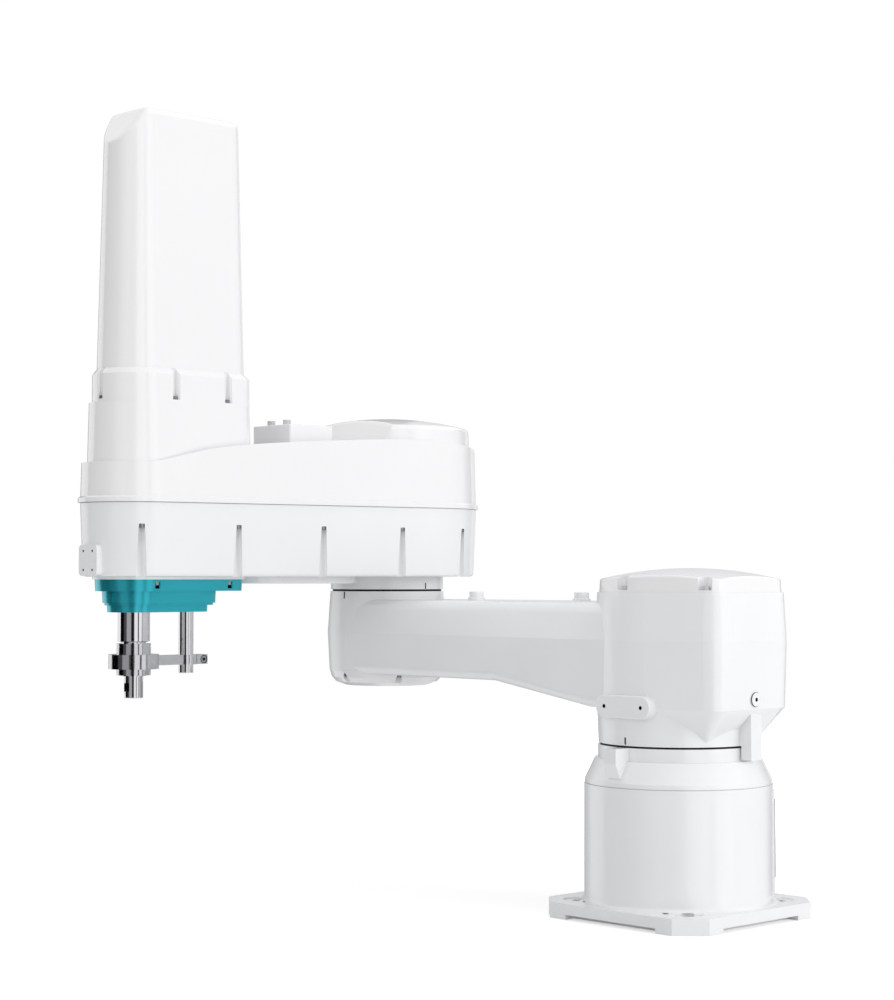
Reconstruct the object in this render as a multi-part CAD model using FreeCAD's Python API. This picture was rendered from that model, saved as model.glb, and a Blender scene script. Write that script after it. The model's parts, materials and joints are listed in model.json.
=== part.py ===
import FreeCAD, Part
import math
import os
from FreeCAD import Vector

# Four-axis arm robot (SCARA) on a floor flange, in millimetres.
# Origin: centre of the base flange's underside. +Z up, +X is the front of the base.
# The arm is shown as photographed: inner arm along -Y, outer arm along +X.

# Reach and joint heights
inner_reach = 550.0          # J1 axis to J2 axis
outer_reach = 450.0          # J2 axis to tool shaft axis
j1_gap_low = 217.2           # top of the base ring
j1_gap_high = 219.7          # underside of the inner arm
j2_gap_low = 408.6           # top of the elbow boss
j2_gap_high = 411.4          # underside of the outer arm's collar
running_gap = 0.3            # between faces that turn past each other
seat_gap = 0.3               # between a curved seat and what sits in it
shaft_fit = 0.05             # radial running clearance of sliding shafts

# Base
base_r = 119.7
flange_half = base_r + 12.3
flange_chamfer = 32.0
flange_thick = 20.0
flange_relief = 6.0
pad_reach = 58.0             # length of each corner pad along the flange edge
bolt_half_pitch = flange_half - 42.0
bolt_hole_r = 8.0
spot_face_r = 19.0
spot_face_depth = 1.5
jack_hole_r = 4.0
jack_half_x = flange_half - 29.0
jack_half_y = 66.0
base_wall = 9.0
base_seam_z = 168.4
base_foot_fillet = 7.0
cone_top_r = 106.0
cone_top_z = 200.5
base_ring_r = 102.0
base_groove = 0.8            # dark line where the head sits on the column
base_bolt_pitch_r = base_r - base_wall / 2
reducer_case_r = 84.0
reducer_bore_r = 56.0
lug_reach = 126.0
lug_half_width = 10.5
lug_low_z = 180.0
lug_slope_z = 198.0          # where the lug's front starts to fall back
lug_angle = -2.0
box_back_x = base_r + 7.3
box_half_width = 60.0
box_low_z = 34.0
box_high_z = 150.0
box_crown_z = 170.0
box_corner_r = 10.0
panel_thick = 4.0
panel_margin = 7.0
power_place = (-22.0, 66.0)  # (y, z) of the sockets and ports on the panel
signal_place = (20.0, 66.0)
user_place = (24.0, 106.0)
air_places = ((-26.0, 106.0), (-6.0, 106.0))
power_r = 14.0
signal_r = 12.0
user_r = 9.0
air_r = 4.7
air_bore_r = 3.2
socket_wall = 2.5
pin_r = 0.8

# Inner arm: housing over J1, beam, elbow boss over J2
hub_low_r = 101.3
hub_r = 103.4
hub_sink = 0.6               # of the hub's cone inside the housing's wall
housing_rear = 123.5         # J1 axis to the rear face
housing_half_width = 77.5    # half the rear face
housing_corner_r = 26.0
housing_low_z = 266.0
housing_mid_z = 350.0
housing_top_z = 410.0
housing_bulge = 2.7
under_side_inset = 26.0      # of the facets under the housing, at their lower end
under_rear_inset = 36.0
under_facet_drop = 41.0
housing_wall = 9.0
housing_floor_z = 236.0
housing_well_z = 300.0       # above which the well follows the housing's plan
lid_inset = 3.5
lid_wall = 4.0
lid_apex_z = 440.6
lid_dome_r = 470.0
lid_dome_centre = -20.0
lid_edge_fillet = 3.0
lid_notch_lean = 18.0        # of the rear corners' notches, from square to the side
lid_side_angles = (86.4, 35.0)  # of the other lid screws round J1
lid_notch_out = 5.0
lid_notch_low_r = 8.5
lid_notch_high_r = 10.5
lid_seat = 3.0               # of the lid under each screw's head
beam_half_j1 = 101.0
beam_half_j2 = 85.0
beam_mid_z = 350.0
beam_top_z = 397.0
beam_low_z = 291.5           # underside near the elbow
beam_deep_z = 264.0          # underside at the housing
beam_bend = 300.0            # where the underside starts to fall away, from J2
beam_draft_up = 8.0
beam_draft_down = 6.0
beam_top_fillet = 17.0
beam_low_fillet = 15.0
beam_channel_half = 34.0
beam_channel_low = 312.0
beam_channel_high = 372.0
elbow_top_r = 82.2
elbow_mid_r = 86.0
elbow_low_r = 83.4
elbow_low_z = 296.5
elbow_web_low = 318.0
elbow_web_high = 330.0
elbow_bore_r = 70.0
elbow_cover_drop = 23.0
elbow_cover_inset = 0.6
elbow_cover_flat_r = 60.0
cap_r = 11.8
cap_height = 12.0
cap_places = (365.0, 166.0)  # from J1 along the beam
rib_angle = 185.0            # round J1 from the arm's direction
rib_reach = 118.0
rib_half_width = 12.0
rib_gap = 2.2                # between the rib and the base ring
rib_low_z = 202.5
rib_high_z = 272.0
boss_half_pitch = 30.0
boss_half_height = 14.5
boss_z = 268.0
boss_face = 107.5
boss_hole_r = 2.5
boss_hole_depth = 12.0
boss_depth = 30.0            # of the boss, most of it inside the housing
plug_r = 8.5
plug_z = 278.0

# Outer arm: lower pan, upper cover, tower
pan_low_z = 429.5
seam_z = 525.5
gasket = 1.0
arm_half_j2 = 129.6
arm_half_j3 = 70.8
pan_draft = 4.0
pan_floor = 8.0
pan_wall = 10.0
ledge_wall = 15.0
ledge_z = seam_z - 12.5
pan_low_fillet = 5.0
ridge_proud = 3.0
ridge_height = 7.5
cover_draft = 3.0
cover_wall = 5.0
cover_rim_wall = 9.5
cover_rim_height = 12.0
cover_loft_z = seam_z + 114.5  # where the cover's drafted sides would end
collar_r = 81.6
groove_places = (outer_reach - 108, outer_reach - 241, 79.0, -33.5)  # from J2, both sides
groove_tip_angle = 62.0      # of the grooves round the tip, each side of the arm's axis
groove_top_z = 497.8
groove_r = 5.2
groove_flare = 1.8
groove_inset = 5.0
screw_head_r = 4.2
screw_head_len = 5.0
screw_shank_r = 2.5
screw_engage = 9.0
tip_pad_half_width = 20.0
tip_pad_top = 471.0
tip_pad_low = 430.5
tip_pad_reach = 73.6
tip_hole_half_y = 10.0
tip_hole_half_z = 12.3
tip_hole_z = 450.5
tip_hole_r = 1.65
tip_hole_depth = 10.0
tower_half = 62.6
tower_rear = outer_reach - 161.0  # from J2 to the back of the tower
tower_corner_r = 28.0
tower_foot_z = seam_z + 34.5
tower_top_z = 657.0
tower_draft = 2.4
skirt_half = 56.2
skirt_rear = outer_reach - 159.0
skirt_top_z = 694.0
skirt_chamfer = 5.5
skirt_seat = 4.0             # of the skirt under each screw's head
skirt_screw_inset = 3.6
skirt_screw_places = (outer_reach - 26.0, outer_reach - 112.0)  # on both sides
skirt_notch_r = 4.0
skirt_notch_flare = 6.8
well_wall = 15.0             # of the tower round the opening under the column
column_half = 50.2
column_rear = outer_reach - 156.0
column_corner_r = 26.0
column_top_half = 41.4
column_top_rear = outer_reach - 149.5
column_top_z = 1045.0
column_edge_fillet = 9.0
column_slope_start = outer_reach + 12.0  # where the top turns down to the tip
column_slope_rise = 46.0
column_slope_run = 31.0
column_wall = 3.0
hatch_r = 119.5
hatch_front = 88.0           # foot of the sloping front
hatch_front_lean = 24.0      # how far the front falls back up to the dome
hatch_foot_z = 616.0
hatch_low_z = 590.0
hatch_apex_z = 658.0
hatch_dome_r = 460.0
hatch_wall = 3.0
block_front = outer_reach - 232.0
block_rear = outer_reach - 310.0
block_half = 41.0
block_top_z = 640.0
fitting_r = 5.5
fitting_bore_r = 3.2
fitting_places = ((block_front - 13.0, 18.0), (block_front - 13.0, -16.0))

# Drive train in the outer arm
rod_place = outer_reach - 85.5  # guide rod axis from J2
rod_r = 10.0
shaft_r = 21.0
tip_r = 12.5
tip_z = 270.2
shaft_neck_z = 300.5
shaft_bore_r = 6.0
tip_neck_r = 16.0
spline_groove_low = 385.0
collar_low_z = 300.5
collar_high_z = 342.0
bearing_collar_r = 22.4
bearing_lip_z = 338.5
clamp_low_z = 308.8
clamp_high_z = 327.8
clamp_r = 33.0
bar_half_width = 9.5
bar_low_z = 312.5
bar_high_z = 325.2
bar_end = rod_place - 30.5   # free end of the bar from J2
pinch_place = (bar_end + 7.5, 0.5 * (bar_low_z + bar_high_z))
pinch_seat_y = bar_half_width - 3.5
rod_low_z = 300.5
screw_place = outer_reach - 115.0
ball_screw_r = 9.0
nut_r = 16.0
frame_gap = 3.0             # between the nut and the upright behind it
upright_thick = 3.0
nut_len = 38.0
nut_below = 22.0             # of the nut below the carriage plate
carriage_thick = 14.0
shaft_above = 12.0
leg_place = 46.0
leg_half = 4.0
stroke_up = 30.0
stroke_down = 390.0
plate_thick = 8.0
belt_width = 12.0
z_belt_low = ledge_z + plate_thick + 10.0
roll_belt_low = z_belt_low + belt_width + 8.0
carriage_z = roll_belt_low + belt_width + 11.0 + stroke_down  # underside, as photographed
screw_top_z = carriage_z - nut_below + nut_len + stroke_up + 12.0
belt_thick = 2.0
screw_pulley_r = 16.0
motor_pulley_r = 15.0
spline_pulley_r = 34.0
pulley_lip = 2.5
frame_seat_z = roll_belt_low + belt_width + 6.0  # bridge of the upright
z_motor_place = (screw_place - 67.0, -50.0)
roll_motor_place = (outer_reach - 238.0, 0.0)
motor_half = 27.0
motor_len = 66.0
spline_housing_r = 50.0
spline_nut_r = 32.0
bearing_len = 10.0
bearing_places = (pan_low_z + 20.5, pan_low_z + 70.5)
steps = (
    # half width, rear end from J2, low z, high z of each step of the shaft cover
    (51.5, outer_reach - 147.0, 410.6, 426.0),
    (42.0, outer_reach - 110.0, 395.0, 410.6),
    (35.8, outer_reach - 101.0, 383.0, 395.0),
)
step_corner_r = 14.0
cover_plate_z = 426.0
cover_screw_x = (outer_reach - 1.0, outer_reach - 120.0)
underplate_front = outer_reach - 207.0
underplate_rear = 156.0
underplate_half = 72.0
underplate_low_z = 420.0

# Servos and reducers of the two arm joints
j1_motor_half = 48.0
j1_motor_top_z = 372.0
j1_brake_r = 34.0
j1_brake_len = 24.0
j1_motor_flange_r = 70.0
j2_motor_half = 45.0
j2_motor_len = 150.0
j2_brake_r = 32.0
j2_brake_len = 40.0
j2_motor_flange_r = 62.0
motor_flange_len = 12.0
j2_output_r = 46.0


def v(x, y, z=0.0):
    return Vector(x, y, z)


def hull_wire(circles, z):
    """Closed outline round circles (x, y, r) given anticlockwise: arcs joined by common tangents."""
    count = len(circles)
    normals = []
    for i in range(count):
        x1, y1, r1 = circles[i]
        x2, y2, r2 = circles[(i + 1) % count]
        run = math.hypot(x2 - x1, y2 - y1)
        heading = math.atan2(y2 - y1, x2 - x1)
        normals.append(heading - math.acos((r1 - r2) / run))
    edges = []
    for i in range(count):
        x, y, r = circles[i]
        start = normals[i - 1]
        turn = (normals[i] - start) % (2 * math.pi)
        angles = [start + turn * t for t in (0, 0.5, 1)]
        arc = [v(x + r * math.cos(a), y + r * math.sin(a), z) for a in angles]
        edges.append(Part.Arc(*arc).toShape())
        nx, ny, nr = circles[(i + 1) % count]
        tangent = v(nx + nr * math.cos(normals[i]), ny + nr * math.sin(normals[i]), z)
        edges.append(Part.makeLine(arc[2], tangent))
    return Part.Wire(edges)


def loft(*wires):
    """Straight-sided solid through outlines of like shape."""
    return Part.makeLoft(list(wires), True, True)


def prism(wire, height):
    return Part.Face(wire).extrude(v(0, 0, height))


def block(x1, x2, y1, y2, z1, z2):
    return Part.makeBox(x2 - x1, y2 - y1, z2 - z1, v(x1, y1, z1))


def rod(x, y, z1, z2, r):
    return Part.makeCylinder(r, z2 - z1, v(x, y, z1))


def ring(x, y, z1, z2, r_out, r_in):
    return rod(x, y, z1, z2, r_out).cut(rod(x, y, z1, z2, r_in))


def lathe(points, x=0.0, y=0.0):
    """Solid turned round a vertical axis from (radius, z) points that start and end on the axis."""
    line = [v(r, 0, z) for r, z in points]
    wire = Part.makePolygon(line + [line[0]])
    solid = Part.Face(wire).revolve(v(0, 0, 0), v(0, 0, 1), 360)
    solid.translate(v(x, y, 0))
    return solid


def side_profile(points, half_width):
    """Solid with an outline of (x, z) points, as wide as twice half_width across Y."""
    line = [v(x, -half_width, z) for x, z in points]
    return Part.Face(Part.makePolygon(line + [line[0]])).extrude(v(0, 2 * half_width, 0))


def rounded_box(x1, x2, y1, y2, z1, z2, r):
    circles = [(x2 - r, y1 + r, r), (x2 - r, y2 - r, r), (x1 + r, y2 - r, r), (x1 + r, y1 + r, r)]
    return prism(hull_wire(circles, z1), z2 - z1)


def fillet_where(solid, r, test):
    edges = [e for e in solid.Edges if test(e)]
    return solid.makeFillet(r, edges)


def flat_at(z, tol=0.01):
    """Test for edges that lie wholly at height z."""
    return lambda e: abs(e.BoundBox.ZMin - z) < tol and abs(e.BoundBox.ZMax - z) < tol


def in_inner(shape):
    """From the inner arm's own frame (arm along +X) to where it is."""
    shape = shape.copy()
    shape.rotate(v(0, 0, 0), v(0, 0, 1), -90)
    return shape


def in_outer(shape):
    """From the outer arm's own frame (J2 at the origin, arm along +X) to where it is."""
    shape = shape.copy()
    shape.translate(v(0, -inner_reach, 0))
    return shape


def hex_screw(x, y, z, head_r, head_len, shank_r, shank_len, up=1):
    """Socket screw whose head's seat is at z; up=1 has the shank below the head."""
    head = rod(0, 0, 0, head_len, head_r)
    hexagon = Part.makePolygon([v(head_r * 0.5 * math.cos(a), head_r * 0.5 * math.sin(a), head_len)
                                for a in [math.pi / 3 * k for k in range(7)]])
    socket = Part.Face(hexagon).extrude(v(0, 0, -head_len * 0.55))
    screw = head.cut(socket).fuse(rod(0, 0, -shank_len, 0, shank_r)).removeSplitter()
    if up < 0:
        screw.rotate(v(0, 0, 0), v(1, 0, 0), 180)
    screw.translate(v(x, y, z))
    return screw


def timing_pulley(x, y, z, r, bore_r):
    """Toothed pulley with a lip each side of the belt's path."""
    body = rod(x, y, z - 1.5, z + belt_width + 1.5, r)
    lips = [rod(x, y, h, h + 1.5, r + pulley_lip) for h in (z - 1.5, z + belt_width)]
    teeth = int(2 * math.pi * r / 10)
    gaps = []
    for k in range(teeth):
        a = 2 * math.pi * k / teeth
        gaps.append(rod(x + r * math.cos(a), y + r * math.sin(a), z, z + belt_width, 1.4))
    return body.cut(Part.makeCompound(gaps)).fuse(lips).cut(rod(x, y, z - 2, z + belt_width + 2, bore_r))


def belt(x1, y1, r1, x2, y2, r2, z):
    """Closed belt round two pulleys."""
    inner = [(x1, y1, r1 + seat_gap), (x2, y2, r2 + seat_gap)]
    outer = [(x, y, r + belt_thick) for x, y, r in inner]
    return prism(hull_wire(outer, z), belt_width).cut(prism(hull_wire(inner, z), belt_width))


def servo(x, y, z_top, half, length, shaft_len, shaft_r):
    """Square servo motor hanging under z_top with its shaft pointing up."""
    body = rounded_box(x - half + 2, x + half - 2, y - half + 2, y + half - 2, z_top - length, z_top - 10, 5)
    face = rounded_box(x - half, x + half, y - half, y + half, z_top - 10, z_top, 5)
    cap = rod(x, y, z_top - length - 6, z_top - length, half * 0.7)
    return body.fuse([face, cap, rod(x, y, z_top, z_top + shaft_len, shaft_r)]).removeSplitter()


# Base

def flange_outline(z, half=flange_half, chamfer=flange_chamfer):
    c = half - chamfer
    corners = [(half, -c), (half, c), (c, half), (-c, half), (-half, c), (-half, -c), (-c, -half), (c, -half)]
    points = [v(x, y, z) for x, y in corners]
    return Part.makePolygon(points + [points[0]])


def base_body():
    """Flange, hollow column and the connector box at the back."""
    flange = prism(flange_outline(0), flange_thick)
    reach = flange_half - pad_reach
    for turn in range(4):
        gap = block(base_r - 4, flange_half + 1, -reach, reach, -1, flange_relief)
        gap.rotate(v(0, 0, 0), v(0, 0, 1), 90 * turn)
        flange = flange.cut(gap)
    column = rod(0, 0, flange_thick, base_seam_z, base_r)
    solid = flange.fuse(column)
    foot = [e for e in solid.Edges if flat_at(flange_thick)(e) and abs(e.BoundBox.XLength - 2 * base_r) < 1]
    solid = solid.makeFillet(base_foot_fillet, foot)
    y_in = box_half_width - box_corner_r
    x_in = -box_back_x + box_corner_r
    plan = [(0, -y_in, 5), (0, y_in, 5), (x_in, y_in, box_corner_r), (x_in, -y_in, box_corner_r)]
    box = prism(hull_wire(plan, flange_thick), box_crown_z - flange_thick)
    crown = side_profile([(-box_back_x - 1, box_high_z), (-box_back_x - 1, box_crown_z + 1),
                          (-box_back_x + 26, box_crown_z + 1)], box_half_width + 1)
    box = box.cut(crown)
    solid = solid.fuse(box.common(rod(0, 0, 0, base_seam_z, 400)))
    hollow = rod(0, 0, -1, base_seam_z + 1, base_r - base_wall)
    tunnel = block(-box_back_x + 14, 0, -box_half_width + 14, box_half_width - 14,
                   box_low_z + 8, box_high_z - 14)
    window = block(-box_back_x - 1, -box_back_x + 15, -box_half_width + 20, box_half_width - 20,
                   box_low_z + 14, box_high_z - 20)
    solid = solid.cut(hollow).cut(tunnel).cut(window)
    foot_clear = rod(0, 0, 0, flange_thick + 2, base_r + base_foot_fillet)
    drills = []
    for sx in (-1, 1):
        for sy in (-1, 1):
            x, y = sx * bolt_half_pitch, sy * bolt_half_pitch
            drills.append(rod(x, y, -1, flange_thick + 1, bolt_hole_r))
            spot_face = rod(x, y, flange_thick - spot_face_depth, flange_thick + 1, spot_face_r)
            drills.append(spot_face.cut(foot_clear))
            drills.append(rod(sx * jack_half_x, sy * jack_half_y, -1, flange_thick + 1, jack_hole_r))
    for x, y in ring_places(base_bolt_pitch_r, 8, 22.5):
        drills.append(rod(x, y, base_seam_z - 20, base_seam_z + 1, screw_shank_r))
    for y, z in panel_screw_places():
        drills.append(x_rod(-box_back_x - 1, -box_back_x + 12, y, z, 1.6))
    return solid.cut(Part.makeCompound(drills)).removeSplitter()


def ring_places(r, count, start=0.0):
    angles = [math.radians(start + 360.0 * k / count) for k in range(count)]
    return [(r * math.cos(a), r * math.sin(a)) for a in angles]


def x_rod(x1, x2, y, z, r):
    return Part.makeCylinder(r, x2 - x1, v(x1, y, z), v(1, 0, 0))


def y_rod(x, y1, y2, z, r):
    return Part.makeCylinder(r, y2 - y1, v(x, y1, z), v(0, 1, 0))


def base_head():
    """Cone and ring over the column, with the fixed stop lug at the front."""
    slit_z = base_seam_z + base_groove
    outer = [(0, base_seam_z), (base_r - 3 * base_groove, base_seam_z), (base_r - 3 * base_groove, slit_z),
             (base_r - base_groove, slit_z), (base_r - 1.2, base_seam_z + 6), (cone_top_r, cone_top_z),
             (base_ring_r, cone_top_z), (base_ring_r, j1_gap_low), (0, j1_gap_low)]
    lug = side_profile([(base_ring_r - 14, j1_gap_low), (lug_reach, j1_gap_low), (lug_reach, lug_slope_z),
                        (lug_reach - 8, lug_low_z), (base_ring_r - 2, lug_low_z),
                        (base_ring_r - 14, lug_slope_z)], lug_half_width)
    lug.rotate(v(0, 0, 0), v(0, 0, 1), lug_angle)
    solid = lathe(outer).fuse(lug)
    bore = lathe([(0, base_seam_z - 1), (base_r - base_wall - 1, base_seam_z - 1),
                  (base_r - base_wall - 1, base_seam_z + 4), (reducer_case_r + seat_gap, 196.0),
                  (reducer_case_r + seat_gap, j1_gap_low + 1), (0, j1_gap_low + 1)])
    seat = ring(0, 0, base_seam_z, base_seam_z + 8, base_r - base_wall, reducer_bore_r + 22)
    solid = solid.cut(bore).fuse(seat)
    return solid.removeSplitter()


def panel_screw_places():
    y = box_half_width - panel_margin - 5
    return [(sy * y, z) for sy in (-1, 1) for z in (box_low_z + 10, box_high_z - 16)]


def rear_panel():
    """Connector plate screwed to the back of the base, with its openings."""
    y = box_half_width - panel_margin
    plate = rounded_box(0, 2 * y, 0, box_high_z - box_low_z - 10, 0, panel_thick, 4)
    plate.rotate(v(0, 0, 0), v(0, 1, 0), -90)
    plate.rotate(v(0, 0, 0), v(1, 0, 0), 90)
    box = plate.BoundBox
    plate.translate(v(-box_back_x - panel_thick - box.XMin, -y - box.YMin, box_low_z + 4 - box.ZMin))
    x1, x2 = -box_back_x - 20, -box_back_x + 5
    sockets = ((power_place, power_r), (signal_place, signal_r), (user_place, user_r))
    holes = [x_rod(x1, x2, *place, r) for place, r in sockets]
    holes += [x_rod(x1, x2, y, z, air_r + seat_gap) for y, z in air_places]
    holes += [x_rod(x1, x2, y, z, 1.8) for y, z in panel_screw_places()]
    return plate.cut(Part.makeCompound(holes))


def round_socket(place, r, pins, depth=16.0):
    """Round panel socket: flange outside the plate, barrel through it, pins inside."""
    x = -box_back_x - panel_thick
    y, z = place
    body = x_rod(x - 3, x, y, z, r + 3).fuse(x_rod(x - 9, x + depth, y, z, r - seat_gap))
    bore_r = r - socket_wall
    body = body.cut(x_rod(x - 10, x - 1, y, z, bore_r))
    pegs = [x_rod(x - 7, x - 1, y + py, z + pz, pin_r) for py, pz in ring_places(0.65 * bore_r, pins)]
    return body.fuse(pegs).removeSplitter()


def air_fitting(place):
    """Straight push-in air fitting on the plate."""
    x = -box_back_x - panel_thick
    y, z = place
    barrel = x_rod(x - 14, x + 10, y, z, air_r)
    nut = x_rod(x - 6, x, y, z, air_r + 1.8)
    return barrel.fuse(nut).cut(x_rod(x - 15, x - 2, y, z, air_bore_r))


def panel_screw(place):
    x = -box_back_x - panel_thick
    y, z = place
    return x_rod(x - 1.6, x, y, z, 3.0).fuse(x_rod(x, x + 12, y, z, 1.5))


def j1_reducer():
    """Fixed case of the shoulder reducer with its ring of screw holes."""
    case = ring(0, 0, base_seam_z + 8, j1_gap_low - 3, reducer_case_r, reducer_bore_r + running_gap)
    holes = [rod(x, y, base_seam_z, j1_gap_low, 3.2) for x, y in ring_places(reducer_case_r - 9, 12)]
    return case.cut(Part.makeCompound(holes))


def j1_output():
    """Turning output of the shoulder reducer, bolted to the inner arm."""
    drum = rod(0, 0, base_seam_z + 12, j1_gap_high, reducer_bore_r)
    plate = rod(0, 0, j1_gap_low - 2, j1_gap_high, reducer_case_r - 6)
    bore = rod(0, 0, base_seam_z, j1_gap_high + 1, 14)
    return drum.fuse(plate).cut(bore).removeSplitter()


def ring_seal(x, y, z_low, z_high, r_out, r_in):
    """Rubber ring in the gap of a joint, carried by the upper part."""
    return ring(x, y, z_low + running_gap, z_high, r_out, r_in)


# Inner arm, in its own frame: J1 at the origin, arm along +X

def housing_plan(offset, z, rear_offset=None):
    """Hub's circle joined to two rear corners, grown by offset, and the rear by rear_offset."""
    rc = max(2.0, housing_corner_r + offset)
    half = housing_half_width + offset - rc
    grown = offset if rear_offset is None else rear_offset
    rear = -(housing_rear + grown - rc)
    return hull_wire([(0, 0, hub_r + offset), (rear, half, rc), (rear, -half, rc)], z)


def beam_plan(offset, z):
    return hull_wire([(0, 0, beam_half_j1 + offset), (inner_reach, 0, beam_half_j2 + offset)], z)


def beam():
    upper = loft(beam_plan(0, beam_mid_z), beam_plan(-beam_draft_up, beam_top_z))
    upper = fillet_where(upper, beam_top_fillet, flat_at(beam_top_z))
    low = beam_deep_z - 4
    lower = loft(beam_plan(-beam_draft_down, low), beam_plan(0, beam_mid_z))
    bend_x = inner_reach - beam_bend
    under = side_profile([(-150, low - 1), (inner_reach + 120, low - 1), (inner_reach + 120, beam_low_z),
                          (bend_x, beam_low_z), (75, beam_deep_z), (-150, beam_deep_z)], 160)
    lower = lower.cut(under)
    keep = [e for e in lower.Edges if e.BoundBox.ZMax < beam_low_z + 2 and e.BoundBox.XLength > 60]
    lower = lower.makeFillet(beam_low_fillet, [e for e in keep if e.BoundBox.YLength < 60])
    return upper.fuse(lower)


def stop_rib():
    """Moving stop under the housing, which meets the fixed lug."""
    rib = block(hub_low_r - 4, rib_reach, -rib_half_width, rib_half_width, rib_low_z, rib_high_z)
    clear = rod(0, 0, rib_low_z - 1, j1_gap_high, base_ring_r + rib_gap)
    rib = rib.cut(clear)
    rib.rotate(v(0, 0, 0), v(0, 0, 1), rib_angle)
    return rib


def accessory_boss():
    plan = [(-boss_half_pitch, 0, boss_half_height), (boss_half_pitch, 0, boss_half_height)]
    plate = prism(hull_wire(plan, 0), boss_depth)
    plate = fillet_where(plate, 2.0, flat_at(boss_depth))
    plate.rotate(v(0, 0, 0), v(1, 0, 0), -90)
    plate.translate(v(0, boss_face - boss_depth, boss_z))
    return plate


def elbow_shell():
    points = [(0, elbow_low_z), (elbow_low_r, elbow_low_z), (elbow_mid_r, beam_mid_z),
              (elbow_top_r, j2_gap_low), (0, j2_gap_low)]
    return lathe(points, inner_reach, 0)


def inner_arm_casting():
    hub = lathe([(0, j1_gap_high), (hub_low_r, j1_gap_high), (hub_r - hub_sink, housing_low_z + 3),
                 (0, housing_low_z + 3)])
    low = loft(housing_plan(-under_side_inset, housing_low_z - under_facet_drop, -under_rear_inset),
               housing_plan(0, housing_low_z))
    mid = loft(housing_plan(0, housing_low_z), housing_plan(housing_bulge, housing_mid_z))
    top = loft(housing_plan(housing_bulge, housing_mid_z), housing_plan(-0.8, housing_top_z))
    solid = hub.fuse([low, mid, top, beam(), elbow_shell(), stop_rib(), accessory_boss()])
    inset = -housing_wall - 4
    well = prism(housing_plan(-housing_wall, housing_floor_z), housing_top_z - housing_floor_z)
    cuts = [well.common(rod(0, 0, housing_floor_z, housing_top_z, 92)),
            prism(housing_plan(inset, housing_well_z), housing_top_z + 1 - housing_well_z),
            rod(inner_reach, 0, elbow_web_high, j2_gap_low + 1, elbow_bore_r),
            rod(inner_reach, 0, elbow_low_z - 1, elbow_web_low, elbow_bore_r),
            rod(inner_reach, 0, elbow_web_low - 1, elbow_web_high + 1, 22),
            rod(0, 0, j1_gap_high - 1, housing_floor_z + 1, 40),
            rod(inner_reach, 0, 200, elbow_low_z, elbow_low_r - elbow_cover_inset + seat_gap),
            block(60, inner_reach - 50, -beam_channel_half, beam_channel_half,
                  beam_channel_low, beam_channel_high),
            x_rod(-housing_rear - 6, -housing_rear + 20, 0, plug_z, plug_r - 1.5)]
    for x in (-boss_half_pitch, boss_half_pitch):
        cuts.append(y_rod(x, boss_face - boss_hole_depth, boss_face + 1, boss_z, boss_hole_r))
    for x in cap_places:
        cuts.append(rod(x, 0, beam_channel_high - 1, beam_top_z + 5, cap_r - 3))
    for x, y, nx, ny in lid_screw_places():
        cuts.append(rod(x, y, housing_top_z - 16, housing_top_z + 1, 2.2))
    for x, y in elbow_screw_places():
        cuts.append(rod(x, y, elbow_low_z - 1, elbow_low_z + 14, 2.2))
    return solid.cut(Part.makeCompound(cuts)).removeSplitter()


def lid_screw_places():
    """Round the lid, with each one's outward direction: rear corners, sides and front."""
    lean = math.radians(lid_notch_lean)
    reach = hub_r - 8.5
    places = []
    for side in (1, -1):
        places.append((-(housing_rear - 21), side * (housing_half_width - 9.5),
                       -math.sin(lean), side * math.cos(lean)))
        for angle in lid_side_angles:
            nx, ny = math.cos(math.radians(angle)), side * math.sin(math.radians(angle))
            places.append((reach * nx, reach * ny, nx, ny))
    return places


def j1_lid():
    """Domed lid of the shoulder housing, with a notch round each screw."""
    wall_top = loft(housing_plan(-lid_inset, housing_top_z), housing_plan(-lid_inset - 2, lid_apex_z))
    dome = Part.makeSphere(lid_dome_r, v(lid_dome_centre, 0, lid_apex_z - lid_dome_r))
    solid = wall_top.common(dome)
    rim = [e for e in solid.Edges if e.BoundBox.ZMin > housing_top_z + 4 and e.BoundBox.ZMax < lid_apex_z + 1
           and not (e.BoundBox.ZLength > 15)]
    solid = solid.makeFillet(lid_edge_fillet, rim)
    inner = prism(housing_plan(-lid_inset - lid_wall - 11, housing_top_z - 1), lid_apex_z - housing_top_z)
    inner_dome = Part.makeSphere(lid_dome_r - lid_wall, v(lid_dome_centre, 0, lid_apex_z - lid_dome_r))
    solid = solid.cut(inner.common(inner_dome))
    seat_z = housing_top_z + lid_seat
    for x, y, nx, ny in lid_screw_places():
        pocket = Part.makeCone(lid_notch_low_r, lid_notch_high_r, lid_apex_z - seat_z,
                               v(x + nx * lid_notch_out, y + ny * lid_notch_out, seat_z))
        head_room = rod(x, y, seat_z, lid_apex_z, screw_head_r + seat_gap)
        shank_room = rod(x, y, housing_top_z - 1, seat_z + 1, screw_shank_r)
        solid = solid.cut(pocket).cut(head_room).cut(shank_room)
    return solid.removeSplitter()


def elbow_screw_places():
    r = elbow_low_r - 6.5
    return [(inner_reach + x, y) for x, y in ring_places(r, 6, 30)]


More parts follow.
